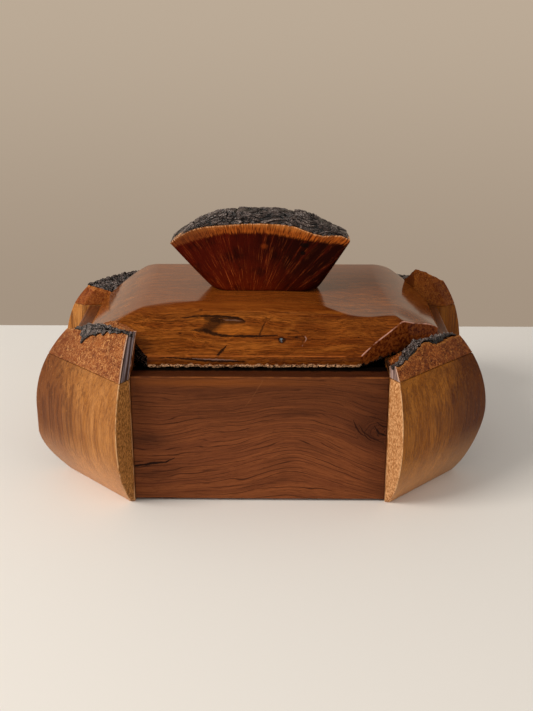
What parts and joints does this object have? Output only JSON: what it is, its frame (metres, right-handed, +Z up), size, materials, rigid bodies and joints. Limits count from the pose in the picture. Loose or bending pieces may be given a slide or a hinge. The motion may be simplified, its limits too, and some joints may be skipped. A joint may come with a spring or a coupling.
{
  "type": "lidded box",
  "caption": "Eight-sided wooden box with barrel-faced corner blocks, natural-edge bark caps and a loose domed lid lifted by a fan-shaped log handle.",
  "frame": {"origin": "on the table under the middle of the box", "axes": "+X along the long side to the viewer's right, +Y to the back, +Z up"},
  "size_m": [0.2988, 0.2312, 0.1704],
  "materials": {
    "board_wood": "oiled reddish-brown board",
    "floor_wood": "sanded, unpolished",
    "block_wood": "oiled golden-brown wood, satin",
    "cap_wood": "oiled mottled reddish burl",
    "bark": "rough dark bark",
    "lid_wood": "polished orange-brown wood",
    "handle_wood": "polished dark red heartwood with a paler sapwood band",
    "screw_metal": "plain"
  },
  "bodies": {
    "box": {"front_board": "board_wood", "back_board": "board_wood", "left_board": "board_wood", "right_board": "board_wood", "floor_panel": "floor_wood", "corner_block_front_left": "block_wood", "corner_cap_front_left": "cap_wood", "corner_bark_front_left": "bark", "corner_block_front_right": "block_wood", "corner_cap_front_right": "cap_wood", "corner_bark_front_right": "bark", "corner_block_back_left": "block_wood", "corner_cap_back_left": "cap_wood", "corner_bark_back_left": "bark", "corner_block_back_right": "block_wood", "corner_cap_back_right": "cap_wood", "corner_bark_back_right": "bark"},
    "lid": {"lid_panel": "lid_wood", "lid_cleat_left": "board_wood", "lid_cleat_right": "board_wood", "lid_handle": "handle_wood", "lid_handle_bark": "bark", "handle_screw_left": "screw_metal", "handle_screw_right": "screw_metal"}
  },
  "joints": [
    {"name": "lid_lift", "type": "slide", "parent": "box", "child": "lid", "axis": [0, 0, 1], "range_m": [0, 0.12]}
  ]
}
